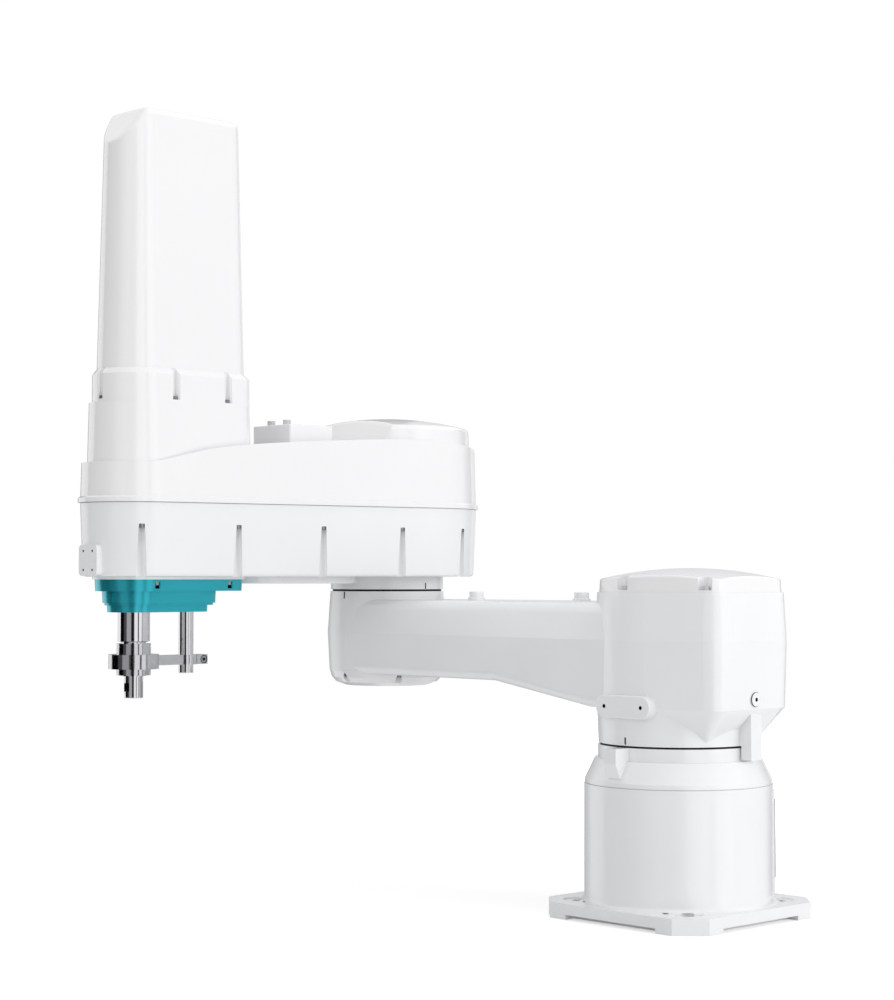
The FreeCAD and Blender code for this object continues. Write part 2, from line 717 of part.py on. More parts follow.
def elbow_cover():
    """Dished cover under the elbow, with screw pockets."""
    low = elbow_low_z - elbow_cover_drop
    rim_r = elbow_low_r - elbow_cover_inset
    points = [(0, low), (elbow_cover_flat_r, low), (rim_r - 8.8, low + 5), (rim_r - 2.8, low + 12),
              (rim_r, elbow_low_z - 2), (rim_r, elbow_low_z), (0, elbow_low_z)]
    solid = lathe(points, inner_reach, 0)
    hollow = lathe([(0, low + 3), (elbow_cover_flat_r - 2, low + 3), (67, low + 8), (67, elbow_low_z + 1),
                    (0, elbow_low_z + 1)], inner_reach, 0)
    cuts = [hollow]
    for x, y in elbow_screw_places():
        cuts += [rod(x, y, low - 1, elbow_low_z - 5, 5.0), rod(x, y, elbow_low_z - 6, elbow_low_z + 1, 2.6)]
    return solid.cut(Part.makeCompound(cuts)).removeSplitter()


def beam_cap(x):
    """Turned cap with a chamfered rim that closes a hole in the beam's top."""
    points = [(0, beam_top_z), (cap_r, beam_top_z), (cap_r, beam_top_z + 3), (cap_r - 2, beam_top_z + 4),
              (cap_r - 2, beam_top_z + cap_height - 1), (cap_r - 3, beam_top_z + cap_height),
              (0, beam_top_z + cap_height)]
    spigot = rod(x, 0, beam_channel_high + 4, beam_top_z, cap_r - 3 - seat_gap)
    return lathe(points, x, 0).fuse(spigot).removeSplitter()


def housing_plug():
    x = -housing_rear - 1.2
    plug = x_rod(x, x + 12, 0, plug_z, plug_r - 1.5 - seat_gap).fuse(x_rod(x - 1.4, x, 0, plug_z, plug_r))
    return plug.cut(x_rod(x - 2, x + 3, 0, plug_z, 2.5)).removeSplitter()


def j1_motor():
    """Shoulder servo on the housing floor, shaft down into the reducer."""
    half, low, top = j1_motor_half, housing_floor_z + motor_flange_len, j1_motor_top_z
    body = rounded_box(-half, half, -half, half, low, top, 8)
    flange = rod(0, 0, housing_floor_z, low, j1_motor_flange_r)
    brake = rod(0, 0, top, top + j1_brake_len, j1_brake_r)
    shaft = rod(0, 0, base_seam_z + 14, housing_floor_z, 13.5)
    plug = block(4 - half, -14, -12, 12, top, top + 16)
    return body.fuse([flange, brake, shaft, plug]).removeSplitter()


def j2_reducer():
    case = ring(inner_reach, 0, elbow_web_high, j2_gap_low - 1.5, elbow_bore_r - seat_gap,
                j2_output_r + running_gap)
    holes = [rod(inner_reach + x, y, elbow_web_high - 1, j2_gap_low, 2.7)
             for x, y in ring_places(elbow_bore_r - 9, 12)]
    return case.cut(Part.makeCompound(holes))


# Outer arm, in its own frame: J2 at the origin, arm along +X

def arm_plan(offset, z):
    return hull_wire([(0, 0, arm_half_j2 + offset), (outer_reach, 0, arm_half_j3 + offset)], z)


def groove_points():
    """Places of the vertical screw grooves: along both sides, round the tip and at the back."""
    lean = math.asin((arm_half_j2 - arm_half_j3) / outer_reach)
    points = []
    for x in groove_places:
        half = arm_half_j2 / math.cos(lean) - x * math.tan(lean)
        if x < 0:
            half = math.sqrt(arm_half_j2 ** 2 - x ** 2)
        nx, ny = (math.sin(lean), math.cos(lean)) if x > 0 else (x / arm_half_j2, half / arm_half_j2)
        for side in (1, -1):
            points.append((x, side * half, nx, side * ny))
    tip = math.radians(groove_tip_angle)
    for side in (1, -1):
        nx, ny = math.cos(tip), side * math.sin(tip)
        points.append((outer_reach + arm_half_j3 * nx, arm_half_j3 * ny, nx, ny))
    points.append((-arm_half_j2, 0, -1, 0))
    return points


def groove_cut(x, y, nx, ny):
    """Tapered groove, open outwards and at the bottom."""
    cx, cy = x - nx * groove_inset, y - ny * groove_inset
    height = groove_top_z - pan_low_z + 1
    r_low = groove_r + groove_flare
    cone = Part.makeCone(r_low, groove_r, height, v(cx, cy, pan_low_z - 1))
    outer = cone.copy()
    outer.translate(v(nx * 9, ny * 9, 0))
    return [cone, outer]


def shell_pan():
    solid = loft(arm_plan(-pan_draft, pan_low_z), arm_plan(0, seam_z))
    solid = fillet_where(solid, pan_low_fillet, flat_at(pan_low_z))
    floor_z = pan_low_z + pan_floor
    solid = solid.cut(loft(arm_plan(-ledge_wall - 2, floor_z), arm_plan(-ledge_wall, ledge_z)))
    return solid.cut(prism(arm_plan(-pan_wall, ledge_z), seam_z - ledge_z + 1))


def outer_arm_pan():
    """Lower casting of the outer arm: floor, walls, collar over the elbow, pad at the tip."""
    solid = shell_pan()
    collar = rod(0, 0, j2_gap_high, pan_low_z + 1, collar_r)
    pad = rounded_box(0, 2 * tip_pad_half_width, 0, tip_pad_top - tip_pad_low, 0, 40, 6)
    pad.rotate(v(0, 0, 0), v(1, 0, 0), 90)
    pad.rotate(v(0, 0, 0), v(0, 0, 1), 90)
    box = pad.BoundBox
    pad.translate(v(outer_reach + tip_pad_reach - box.XMax, -tip_pad_half_width - box.YMin,
                    tip_pad_low - box.ZMin))
    pad = pad.cut(rod(outer_reach, 0, pan_low_z, seam_z, arm_half_j3 - 8))
    housing_seat = ring(outer_reach, 0, pan_low_z + pan_floor - 1, pan_low_z + pan_floor + 6,
                        spline_housing_r + 4, spline_housing_r - 12)
    solid = solid.fuse([collar, pad, housing_seat])
    cuts = [rod(0, 0, j2_gap_high - 1, pan_low_z + pan_floor + 1, j2_output_r + seat_gap),
            rod(outer_reach, 0, pan_low_z - 1, pan_low_z + pan_floor + 10, spline_nut_r + 3),
            rod(rod_place, 0, pan_low_z - 1, pan_low_z + pan_floor + 1, rod_r + 6)]
    cuts += [rod(x, y, pan_low_z - 1, pan_low_z + 7, 2.1) for x, y, ny in cover_screw_places()]
    for x, y, nx, ny in groove_points():
        cuts += groove_cut(x, y, nx, ny)
        cuts.append(rod(x - nx * groove_inset, y - ny * groove_inset, groove_top_z - 1, seam_z + 1,
                        screw_shank_r + 0.3))
    x1 = outer_reach + tip_pad_reach
    for sy in (-1, 1):
        for sz in (-1, 1):
            cuts.append(x_rod(x1 - tip_hole_depth, x1 + 1, sy * tip_hole_half_y,
                              tip_hole_z + sz * tip_hole_half_z, tip_hole_r))
    return solid.cut(Part.makeCompound(cuts)).removeSplitter()


def arm_gasket():
    band = prism(arm_plan(-0.6, seam_z), gasket).cut(prism(arm_plan(-pan_wall + 1, seam_z), gasket))
    holes = [rod(x - nx * groove_inset, y - ny * groove_inset, seam_z - 1, seam_z + 2, screw_shank_r + 0.3)
             for x, y, nx, ny in groove_points()]
    return band.cut(Part.makeCompound(holes))


def top_profile(drop, low):
    """Side view of the upper cover's top, lowered by drop and closed at height low."""
    front, rear, side = outer_reach + 100, -arm_half_j2 - 15.4, arm_half_j2 + 70.4
    line = [(front, 53), (outer_reach + 20, 53), (outer_reach + 5, 55.5), (outer_reach - 51, 68.5),
            (outer_reach - 105, 77.5), (outer_reach - 173, 84), (148, 92.5), (60, 96), (-40, 91.5),
            (rear, 78.5)]
    points = [v(x, -side, seam_z + rise - drop) for x, rise in line]
    curve = Part.BSplineCurve()
    curve.interpolate(points[1:])
    corners = [points[-1], v(rear, -side, low), v(front, -side, low), points[0], points[1]]
    edges = [curve.toShape()] + [Part.makeLine(a, b) for a, b in zip(corners, corners[1:])]
    return Part.Face(Part.Wire(edges)).extrude(v(0, 2 * side, 0))


def tower_plan(half, rear, corner, z):
    return hull_wire([(outer_reach, 0, half), (rear + corner, half - corner, corner),
                      (rear + corner, -half + corner, corner)], z)


def upper_cover():
    """Cover over the outer arm with its ridge band and the foot of the column."""
    low = seam_z + gasket
    body = loft(arm_plan(0, low), arm_plan(-cover_draft, cover_loft_z)).common(top_profile(0, low))
    edge_z = low + ridge_height - 2
    ridge = loft(arm_plan(ridge_proud, low), arm_plan(ridge_proud, edge_z))
    ridge = ridge.fuse(loft(arm_plan(ridge_proud, edge_z), arm_plan(0, edge_z + 2.5)))
    tower = loft(tower_plan(tower_half, tower_rear, tower_corner_r, tower_foot_z),
                 tower_plan(tower_half - tower_draft, tower_rear + tower_draft, tower_corner_r, tower_top_z))
    solid = body.fuse([ridge, tower])
    rim = prism(arm_plan(-cover_rim_wall, low - 1), cover_rim_height + 1)
    room = loft(arm_plan(-cover_wall - 1, low + cover_rim_height - 1),
                arm_plan(-cover_wall - cover_draft, cover_loft_z))
    room = room.common(top_profile(cover_wall, low))
    well_plan = tower_plan(tower_half - well_wall, tower_rear + well_wall, tower_corner_r - 10, tower_foot_z)
    well = prism(well_plan, tower_top_z - tower_foot_z + 1)
    solid = solid.cut(rim).cut(room).cut(well)
    mouth_z, mouth_r, mouth_x = seam_z + 54, hatch_r - 12, hatch_front - hatch_front_lean - 12
    mouth = block(-mouth_r, mouth_x, -mouth_r, mouth_r, mouth_z, cover_loft_z)
    cuts = [rod(0, 0, mouth_z, cover_loft_z, mouth_r).common(mouth)]
    for x, y, nx, ny in groove_points():
        cuts.append(rod(x - nx * groove_inset, y - ny * groove_inset, low - 1, low + screw_engage + 1,
                        screw_shank_r + 0.1))
    for x, y, nx, ny in skirt_points():
        cuts.append(rod(x - nx * skirt_screw_inset, y - ny * skirt_screw_inset, tower_top_z - 14,
                        tower_top_z + 1, 2.1))
    return solid.cut(Part.makeCompound(cuts)).removeSplitter()


def skirt_points():
    """Screw notches round the column's skirt."""
    points = []
    for x in skirt_screw_places:
        points += [(x, skirt_half, 0, 1), (x, -skirt_half, 0, -1)]
    points.append((outer_reach + skirt_half, 0, 1, 0))
    return points


def column_cover():
    """Tall cover over the screw and shaft: skirt, taper and a top that slopes at the tip."""
    z1, z2, z3 = tower_top_z, skirt_top_z, skirt_top_z + skirt_chamfer + 2
    skirt = prism(tower_plan(skirt_half, skirt_rear, column_corner_r - 4, z1), z2 - z1)
    bevel = loft(tower_plan(skirt_half, skirt_rear, column_corner_r - 4, z2),
                 tower_plan(column_half, column_rear, column_corner_r, z3))
    top_corner = column_corner_r - 4
    mast = loft(tower_plan(column_half, column_rear, column_corner_r, z3),
                tower_plan(column_top_half, column_top_rear, top_corner, column_top_z))
    far = column_slope_start + column_slope_run * 3
    slope_z = column_top_z - column_slope_rise * 3
    slope = side_profile([(column_slope_start, column_top_z), (far, slope_z), (far, column_top_z + 5),
                          (column_slope_start, column_top_z + 5)], 100)
    mast = mast.cut(slope)
    top = [e for e in mast.Edges if e.BoundBox.ZMin > column_top_z - 60 and e.BoundBox.ZLength < 60]
    mast = mast.makeFillet(column_edge_fillet, [e for e in top if e.BoundBox.ZMax > column_top_z - 0.5])
    solid = skirt.fuse([bevel, mast])
    wall = column_wall
    room = loft(tower_plan(column_half - wall, column_rear + wall, column_corner_r - wall, z1 - 1),
                tower_plan(column_top_half - wall, column_top_rear + wall, top_corner - wall,
                           column_top_z - wall))
    cap = side_profile([(column_slope_start - wall, column_top_z - wall), (far - wall, slope_z - wall),
                        (far, column_top_z + 5), (column_slope_start, column_top_z + 5)], 100)
    solid = solid.cut(room.cut(cap))
    seat_z, flare = z1 + skirt_seat, skirt_notch_flare
    cuts = []
    for x, y, nx, ny in skirt_points():
        cx, cy = x - nx * skirt_screw_inset, y - ny * skirt_screw_inset
        cuts += [rod(cx, cy, seat_z, z3 + 1, skirt_notch_r),
                 rod(cx + nx * flare, cy + ny * flare, seat_z, z3 + 1, flare),
                 rod(cx, cy, z1 - 1, seat_z + 1, 2.3)]
    return solid.cut(Part.makeCompound(cuts)).removeSplitter()


def hatch_plan(offset, z):
    """Round plan cut straight at the front."""
    r = hatch_r + offset
    x = hatch_front + offset
    y = math.sqrt(r * r - x * x)
    arc = Part.Arc(v(x, y, z), v(-r, 0, z), v(x, -y, z)).toShape()
    return Part.Wire([arc, Part.makeLine(v(x, -y, z), v(x, y, z))])


def motor_hatch():
    """Domed cover over the elbow motor, on the upper cover, with a sloping front."""
    low, high = hatch_low_z, hatch_apex_z + 2
    solid = loft(hatch_plan(0.6, low), hatch_plan(-1.2, high))
    dome = Part.makeSphere(hatch_dome_r, v(0, 0, hatch_apex_z - hatch_dome_r))
    front = hatch_front + 2
    slope = side_profile([(front, hatch_foot_z), (front, high), (hatch_front - hatch_front_lean, high),
                          (hatch_front, hatch_foot_z)], hatch_r)
    solid = solid.common(dome).cut(slope)
    rim = [e for e in solid.Edges if e.BoundBox.ZMin > hatch_foot_z + 4]
    solid = solid.makeFillet(8.0, rim)
    solid = solid.cut(top_profile(-seat_gap, low - 5))
    inner = prism(hatch_plan(-hatch_wall - 6, low), high - low).common(
        Part.makeSphere(hatch_dome_r - hatch_wall, v(0, 0, hatch_apex_z - hatch_dome_r)))
    lean = hatch_front - hatch_front_lean - hatch_wall - 6
    inner = inner.common(block(-hatch_r, lean, -hatch_r, hatch_r, low, high))
    return solid.cut(inner).removeSplitter()


def connector_block():
    """Low block on the cover behind the column, which carries the air fittings."""
    solid = rounded_box(block_rear, block_front, -block_half, block_half, hatch_low_z, block_top_z, 3)
    solid = fillet_where(solid, 1.5, flat_at(block_top_z))
    solid = solid.cut(top_profile(-seat_gap, tower_foot_z))
    holes = [rod(x, y, block_top_z - 12, block_top_z + 1, 3.2) for x, y in fitting_places]
    return solid.cut(Part.makeCompound(holes))


def block_fitting(x, y):
    spigot = rod(x, y, block_top_z - 10, block_top_z, 3.2 - seat_gap)
    body = rod(x, y, block_top_z, block_top_z + 7, fitting_r).fuse(spigot)
    return body.cut(rod(x, y, block_top_z + 1, block_top_z + 8, fitting_bore_r)).removeSplitter()


def step_plan(half, rear, offset, z):
    corner = step_corner_r
    return hull_wire([(outer_reach, 0, half + offset), (rear + corner, half - corner + offset, corner),
                      (rear + corner, -half + corner - offset, corner)], z)


def shaft_cover():
    """Stepped cover under the tip, open round the shaft and the rod."""
    solids = []
    for half, rear, z1, z2 in steps:
        solids.append(loft(step_plan(half, rear, -1.0, z1), step_plan(half, rear, 0, z2)))
    lip = loft(step_plan(steps[1][0] - 1, steps[1][1] + 2, -2.5, steps[1][2] - 3),
               step_plan(steps[1][0] - 1, steps[1][1] + 2, -2.5, steps[1][2]))
    solid = solids[0].fuse(solids[1:] + [lip])
    top = steps[0][3]
    cuts = [loft(step_plan(steps[0][0] - 4, steps[0][1] + 4, 0, steps[0][2] + 3),
                 step_plan(steps[0][0] - 4, steps[0][1] + 4, 0, top + 1)),
            rod(outer_reach, 0, steps[2][2] + 3, top, shaft_r + 8),
            rod(outer_reach, 0, steps[2][2] - 1, top, shaft_r + 0.5),
            rod(rod_place, 0, steps[2][2] - 1, top, rod_r + 0.5)]
    for x, y, ny in cover_screw_places():
        cuts += [rod(x, y, top - 12, top - 3, 4.2), rod(x, y + ny * 6, top - 12, top - 3, 4.6)]
        cuts.append(rod(x, y, top - 4, top + 1, 2.0))
    edge = outer_reach + steps[1][0]
    cuts.append(block(edge - 3, edge + 3, 8, 12, steps[1][2], steps[1][3]))
    return solid.cut(Part.makeCompound(cuts)).removeSplitter()


def cover_screw_places():
    y = steps[0][0] - 4.5
    return [(x, s * y, s) for x in cover_screw_x for s in (1, -1)]


def under_plate():
    """Flat cover under the middle of the pan."""
    plan = [(underplate_rear, 0, underplate_half), (underplate_front, 0, underplate_half * 0.75)]
    plate = prism(hull_wire(plan, underplate_low_z), pan_low_z - underplate_low_z)
    return fillet_where(plate, 2.0, flat_at(underplate_low_z))


def cover_plate():
    """Thin plate between the pan and the stepped cover."""
    half, rear = steps[0][0] + 3, steps[0][1] - 3
    plate = prism(step_plan(half, rear, 0, cover_plate_z), pan_low_z - cover_plate_z)
    cuts = [rod(outer_reach, 0, cover_plate_z - 1, pan_low_z + 1, spline_nut_r + 3),
            rod(rod_place, 0, cover_plate_z - 1, pan_low_z + 1, rod_r + 6)]
    cuts += [rod(x, y, cover_plate_z - 1, pan_low_z + 1, 2.1) for x, y, ny in cover_screw_places()]
    return plate.cut(Part.makeCompound(cuts))


# Drive train of the outer arm

def drive_plate():
    """Plate on the pan's ledge that carries the two servos, the screw and the guide."""
    plate = prism(arm_plan(-pan_wall - 0.5, ledge_z), plate_thick)
    plate = plate.common(block(outer_reach - 290, outer_reach + 70, -arm_half_j2, arm_half_j2,
                               ledge_z, ledge_z + plate_thick))
    holes = [rod(outer_reach, 0, ledge_z - 1, ledge_z + 20, spline_housing_r + 0.5),
             rod(screw_place, 0, ledge_z - 1, ledge_z + 20, 13),
             rod(rod_place, 0, ledge_z - 1, ledge_z + 20, 14.5)]
    for place in (z_motor_place, roll_motor_place):
        holes.append(rod(place[0], place[1], ledge_z - 1, ledge_z + 20, 12))
    return plate.cut(Part.makeCompound(holes))


def spline_housing():
    low = pan_low_z + pan_floor + 6
    body = ring(outer_reach, 0, low, ledge_z + plate_thick, spline_housing_r, spline_nut_r + 1)
    foot = ring(outer_reach, 0, low, low + 8, spline_housing_r + 3.5, spline_nut_r + 1)
    return body.fuse(foot).removeSplitter()


def spline_bearing(z):
    return ring(outer_reach, 0, z, z + bearing_len, spline_nut_r + 1, spline_nut_r + running_gap)


def spline_nut():
    return ring(outer_reach, 0, pan_low_z + pan_floor + 8, roll_belt_low, spline_nut_r, shaft_r + shaft_fit)


def spline_pulley():
    return timing_pulley(outer_reach, 0, roll_belt_low + 1.5, spline_pulley_r, shaft_r + 3)


def rod_bush():
    z1 = ledge_z - 30
    body = ring(rod_place, 0, z1, ledge_z + plate_thick + 4, 14.5 - seat_gap, rod_r + shaft_fit)
    flange = ring(rod_place, 0, ledge_z + plate_thick, ledge_z + plate_thick + 4, 18, rod_r + shaft_fit)
    return body.fuse(flange).removeSplitter()


def screw_bearing():
    bore_r = ball_screw_r - 2 + running_gap
    body = ring(screw_place, 0, ledge_z - 12, ledge_z + plate_thick, 13 - seat_gap, bore_r)
    flange = ring(screw_place, 0, ledge_z - 12, ledge_z, 14.5, bore_r)
    return body.fuse(flange).removeSplitter()


def screw_frame():
    """Upright behind the screw with the block of its top bearing."""
    z1 = ledge_z + plate_thick
    x2 = screw_place - nut_r - frame_gap
    x1 = x2 - upright_thick
    z2 = frame_seat_z
    solid = block(x1, x2, -leg_place, leg_place, z2, z2 + 6)
    for y in (-leg_place, leg_place):
        solid = solid.fuse(block(x1, x2, y - leg_half, y + leg_half, z1, z2 + 6))
        solid = solid.fuse(block(x1 - 12, x2, y - leg_half, y + leg_half, z1, z1 + 5))
    upright = block(x1, x2, -20, 20, z2, screw_top_z + 6)
    top = block(x1, screw_place + 12, -15, 15, screw_top_z - 8, screw_top_z + 6)
    top = top.cut(rod(screw_place, 0, screw_top_z - 9, screw_top_z + 7, ball_screw_r - 2 + running_gap))
    return solid.fuse([upright, top]).removeSplitter()


def ball_screw():
    """Screw, plain at its outer diameter, with turned-down ends in its two bearings."""
    low = ledge_z - 14
    thick = rod(screw_place, 0, ledge_z + plate_thick + 2, screw_top_z - 10, ball_screw_r)
    ends = rod(screw_place, 0, low, screw_top_z + 4, ball_screw_r - 2)
    return thick.fuse(ends).removeSplitter()


def screw_nut():
    low = carriage_z - nut_below
    return ring(screw_place, 0, low, low + nut_len, nut_r, ball_screw_r + running_gap)


def carriage():
    """Plate on the nut that holds the rod's upper end and steadies the spline shaft."""
    high = carriage_z + carriage_thick + 1
    plate = prism(hull_wire([(screw_place, 0, nut_r + 1), (outer_reach, 0, 30)], carriage_z), carriage_thick)
    cuts = [rod(screw_place, 0, carriage_z - 1, high, nut_r),
            rod(rod_place, 0, carriage_z - 1, high, rod_r),
            rod(outer_reach, 0, carriage_z - 1, high, shaft_r + shaft_fit)]
    return plate.cut(Part.makeCompound(cuts))


def guide_rod():
    solid = rod(rod_place, 0, rod_low_z, carriage_z + carriage_thick, rod_r)
    return solid.makeChamfer(1.0, [e for e in solid.Edges if flat_at(rod_low_z)(e)])


def clamp_bar():
    """Split clamp round the bearing collar with a bar to the rod and its pinch screw."""
    head = rod(outer_reach, 0, clamp_low_z, clamp_high_z, clamp_r)
    bar = rounded_box(bar_end, outer_reach, -bar_half_width, bar_half_width, bar_low_z, bar_high_z, 3)
    grip = rod(rod_place, 0, bar_low_z, bar_high_z, rod_r + 5)
    solid = head.fuse([bar, grip])
    screw_x, screw_z = pinch_place
    cuts = [rod(outer_reach, 0, clamp_low_z - 1, clamp_high_z + 1, bearing_collar_r),
            rod(rod_place, 0, bar_low_z - 1, bar_high_z + 1, rod_r),
            block(bar_end - 1, rod_place - rod_r + 3, -1, 1, bar_low_z - 1, bar_high_z + 1),
            y_rod(screw_x, -bar_half_width - 1, bar_half_width + 1, screw_z, 2.7),
            y_rod(screw_x, pinch_seat_y, bar_half_width + 1, screw_z, 4.8)]
    return solid.cut(Part.makeCompound(cuts)).removeSplitter()


def pinch_screw():
    x, z = pinch_place
    head = y_rod(x, pinch_seat_y, bar_half_width - 0.3, z, 4.6)
    head = head.cut(y_rod(x, pinch_seat_y + 1.3, bar_half_width + 1, z, 2.2))
    return head.fuse(y_rod(x, -bar_half_width + 0.5, pinch_seat_y, z, 2.5)).removeSplitter()


def bearing_collar():
    """Housing of the bearing that lets the shaft turn in the clamp."""
    body = ring(outer_reach, 0, collar_low_z, collar_high_z, bearing_collar_r, tip_neck_r + running_gap)
    groove_low = bearing_lip_z - 1
    groove = ring(outer_reach, 0, groove_low, bearing_lip_z, bearing_collar_r + 1, bearing_collar_r - 0.8)
    return body.cut(groove)


def tool_shaft():
    """Splined shaft with a smaller neck in its bearing, a tool end and a through bore."""
    top_z = carriage_z + carriage_thick + shaft_above
    points = [(0, tip_z), (tip_r - 1, tip_z), (tip_r, tip_z + 1), (tip_r, collar_low_z - 1.2),
              (tip_neck_r, collar_low_z - 1.2), (tip_neck_r, collar_high_z + 1.5),
              (shaft_r, collar_high_z + 3), (shaft_r, top_z - 1),
              (shaft_r - 1, top_z), (0, top_z)]
    solid = lathe(points, outer_reach, 0)
    cuts = [rod(outer_reach, 0, tip_z - 1, top_z + 1, shaft_bore_r)]
    for k in range(3):
        a = math.radians(90 + 120 * k)
        cuts.append(rod(outer_reach + (shaft_r + 0.6) * math.cos(a), (shaft_r + 0.6) * math.sin(a),
                        spline_groove_low, top_z + 1, 2.2))
    flat = block(outer_reach + tip_r - 1.4, outer_reach + tip_r + 1, -8, 8, tip_z + 9, tip_z + 20)
    cuts.append(flat)
    return solid.cut(Part.makeCompound(cuts)).removeSplitter()


def j2_output():
    """Turning output of the elbow reducer, under the pan's floor."""
    drum = rod(0, 0, elbow_web_high + 4, pan_low_z + pan_floor, j2_output_r)
    return drum.cut(rod(0, 0, elbow_web_high, pan_low_z + pan_floor + 1, 12))


def j2_motor():
    z, half = pan_low_z + pan_floor, j2_motor_half
    top = z + j2_motor_len
    flange = rod(0, 0, z, z + motor_flange_len, j2_motor_flange_r)
    body = rounded_box(-half, half, -half, half, z + motor_flange_len, top, 8)
    brake = rod(0, 0, top, top + j2_brake_len, j2_brake_r)
    shaft = rod(0, 0, elbow_web_high + 10, z, 11.5)
    return flange.fuse([body, brake, shaft]).removeSplitter()


def column_screw(x, y, nx, ny):
    inset = skirt_screw_inset
    return hex_screw(x - nx * inset, y - ny * inset, tower_top_z + skirt_seat, skirt_notch_r - seat_gap,
                     4.5, 2.0, 15.0)


def group(shapes):
    return Part.makeCompound(shapes)


def write(name, shape):
    shape.exportStep("parts/" + name + ".step")


def arm_screws():
    shank_len = seam_z - groove_top_z + gasket + screw_engage
    screws = []
    for x, y, nx, ny in groove_points():
        screws.append(hex_screw(x - nx * groove_inset, y - ny * groove_inset, groove_top_z, screw_head_r,
                                screw_head_len, screw_shank_r, shank_len, -1))
    return screws


def lid_screws():
    seat_z = housing_top_z + lid_seat
    return [hex_screw(x, y, seat_z, screw_head_r, screw_head_len, 2.1, 17)
            for x, y, nx, ny in lid_screw_places()]


def build():
    roll_belt_z = roll_belt_low + 1.5
    inner = {
        "inner_arm_casting": inner_arm_casting(),
        "j1_lid": j1_lid(),
        "j1_lid_screws": group(lid_screws()),
        "j1_motor": j1_motor(),
        "j1_output": j1_output(),
        "j1_seal": ring_seal(0, 0, j1_gap_low, j1_gap_high, 99.0, 92.0),
        "housing_plug": housing_plug(),
        "beam_caps": group([beam_cap(x) for x in cap_places]),
        "elbow_cover": elbow_cover(),
        "elbow_cover_screws": group([hex_screw(x, y, elbow_low_z - 5, 4.0, 5, 2.1, 17, -1)
                                     for x, y in elbow_screw_places()]),
        "j2_reducer": j2_reducer(),
    }
    outer = {
        "outer_arm_pan": outer_arm_pan(),
        "arm_gasket": arm_gasket(),
        "upper_cover": upper_cover(),
        "arm_screws": group(arm_screws()),
        "column_cover": column_cover(),
        "column_screws": group([column_screw(*p) for p in skirt_points()]),
        "motor_hatch": motor_hatch(),
        "connector_block": connector_block(),
        "block_fittings": group([block_fitting(x, y) for x, y in fitting_places]),
        "under_plate": under_plate(),
        "cover_plate": cover_plate(),
        "shaft_cover": shaft_cover(),
        "shaft_cover_screws": group([hex_screw(x, y, steps[0][3] - 3, 3.8, 4.5, 1.9, 12, -1)
                                     for x, y, ny in cover_screw_places()]),
        "j2_output": j2_output(),
        "j2_seal": ring_seal(0, 0, j2_gap_low, j2_gap_high, 79.0, 73.0),
        "j2_motor": j2_motor(),
        "drive_plate": drive_plate(),
        "spline_housing": spline_housing(),
        "spline_bearings": group([spline_bearing(z) for z in bearing_places]),
        "rod_bush": rod_bush(),
        "screw_bearing": screw_bearing(),
        "screw_frame": screw_frame(),
        "z_motor": servo(*z_motor_place, ledge_z, motor_half, motor_len,
                         z_belt_low + belt_width - ledge_z + 3, 5),
        "roll_motor": servo(*roll_motor_place, ledge_z, motor_half, motor_len,
                            roll_belt_low + belt_width - ledge_z + 3, 5),
        "z_belt": belt(screw_place, 0, screw_pulley_r, *z_motor_place, motor_pulley_r, z_belt_low),
        "roll_belt": belt(outer_reach, 0, spline_pulley_r, *roll_motor_place, motor_pulley_r, roll_belt_z),
        "ball_screw": ball_screw(),
        "screw_pulley": timing_pulley(screw_place, 0, z_belt_low, screw_pulley_r, ball_screw_r),
        "z_motor_pulley": timing_pulley(*z_motor_place, z_belt_low, motor_pulley_r, 5 + running_gap),
        "spline_nut": spline_nut(),
        "spline_pulley": spline_pulley(),
        "roll_motor_pulley": timing_pulley(*roll_motor_place, roll_belt_z, motor_pulley_r, 5 + running_gap),
        "screw_nut": screw_nut(),
        "carriage": carriage(),
        "guide_rod": guide_rod(),
        "clamp_bar": clamp_bar(),
        "pinch_screw": pinch_screw(),
        "bearing_collar": bearing_collar(),
        "tool_shaft": tool_shaft(),
    }
    base = {
        "base_body": base_body(),
        "base_head": base_head(),
        "j1_reducer": j1_reducer(),
        "rear_panel": rear_panel(),
        "power_socket": round_socket(power_place, power_r, 6),
        "signal_socket": round_socket(signal_place, signal_r, 8),
        "user_socket": round_socket(user_place, user_r, 5),
        "air_ports": group([air_fitting(p) for p in air_places]),
        "panel_screws": group([panel_screw(p) for p in panel_screw_places()]),
    }
    os.makedirs("parts", exist_ok=True)
    for name, shape in base.items():
        write(name, shape)
    for name, shape in inner.items():
        write(name, in_inner(shape))
    for name, shape in outer.items():
        write(name, in_outer(shape))


build()
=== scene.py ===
import json
import math

import bpy
import numpy as np
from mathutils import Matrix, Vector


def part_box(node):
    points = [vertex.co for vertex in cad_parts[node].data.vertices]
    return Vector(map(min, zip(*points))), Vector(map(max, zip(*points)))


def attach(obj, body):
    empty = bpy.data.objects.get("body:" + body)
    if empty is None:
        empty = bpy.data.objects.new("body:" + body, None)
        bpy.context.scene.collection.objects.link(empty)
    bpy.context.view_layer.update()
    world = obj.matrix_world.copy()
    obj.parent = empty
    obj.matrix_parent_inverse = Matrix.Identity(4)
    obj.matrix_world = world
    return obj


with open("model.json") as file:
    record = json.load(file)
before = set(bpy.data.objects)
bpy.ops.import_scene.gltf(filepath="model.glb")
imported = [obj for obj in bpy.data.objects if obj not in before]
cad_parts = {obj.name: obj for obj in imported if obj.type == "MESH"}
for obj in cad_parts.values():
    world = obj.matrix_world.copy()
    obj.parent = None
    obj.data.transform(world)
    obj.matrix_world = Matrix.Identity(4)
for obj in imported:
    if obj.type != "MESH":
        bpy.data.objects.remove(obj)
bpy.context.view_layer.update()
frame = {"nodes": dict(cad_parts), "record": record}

MM = 0.001
TAU = 2 * math.pi
SKIN_MM = 0.06               # paint and the black linings of painted shade lie this far off the solid
